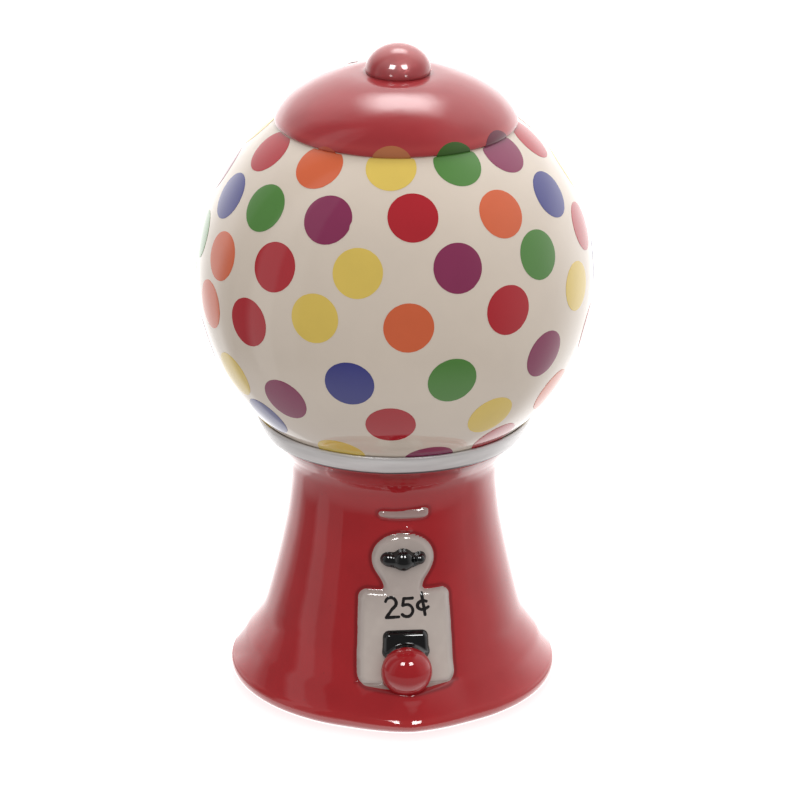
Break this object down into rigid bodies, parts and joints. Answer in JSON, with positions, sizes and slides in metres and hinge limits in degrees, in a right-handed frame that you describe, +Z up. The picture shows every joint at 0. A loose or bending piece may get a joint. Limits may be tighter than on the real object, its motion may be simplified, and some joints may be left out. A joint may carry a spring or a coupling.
{
  "type": "stacking salt and pepper shaker set",
  "caption": "Glazed ceramic salt and pepper set shaped like a gumball machine: a dotted globe with a domed cap nests in the rim of a flared base with relief coin front.",
  "frame": {"origin": "centre of the foot, on the table", "axes": "+Z up, -Y to the front with the coin relief, +X to the viewer's right when looking at the front"},
  "size_m": [0.0641, 0.0642, 0.1085],
  "materials": {
    "red_glaze": "gloss",
    "cream_glaze": "gloss",
    "silver_lustre": "gloss",
    "pale_glaze": "gloss",
    "black_glaze": "gloss",
    "red_dot": "gloss",
    "orange_dot": "gloss",
    "yellow_dot": "gloss",
    "green_dot": "gloss",
    "blue_dot": "gloss",
    "purple_dot": "gloss",
    "clear_rubber": "matte"
  },
  "bodies": {
    "base_shaker": {"base_body": "red_glaze", "globe_cup": "red_glaze", "rim_band": "silver_lustre", "catch_tray": "red_glaze", "coin_plate": "pale_glaze", "coin_slot_bar": "pale_glaze", "coin_crank": "black_glaze", "price_mark": "black_glaze", "chute_hood": "black_glaze", "chute_gumball": "red_glaze"},
    "base_plug": {"base_stopper": "clear_rubber"},
    "globe_shaker": {"globe_shell": "cream_glaze", "lid_cap": "red_glaze", "lid_knob": "red_glaze", "dots_red": "red_dot", "dots_orange": "orange_dot", "dots_yellow": "yellow_dot", "dots_green": "green_dot", "dots_blue": "blue_dot", "dots_purple": "purple_dot"},
    "globe_plug": {"globe_stopper": "clear_rubber"}
  },
  "joints": [
    {"name": "globe_lift", "type": "slide", "parent": "base_shaker", "child": "globe_shaker", "axis": [0, 0, 1], "range_m": [0, 0.06]},
    {"name": "base_plug_pull", "type": "slide", "parent": "base_shaker", "child": "base_plug", "axis": [0, 0, -1], "range_m": [0, 0.008]},
    {"name": "globe_plug_pull", "type": "slide", "parent": "globe_shaker", "child": "globe_plug", "axis": [0, 0, -1], "range_m": [0, 0.003]}
  ]
}
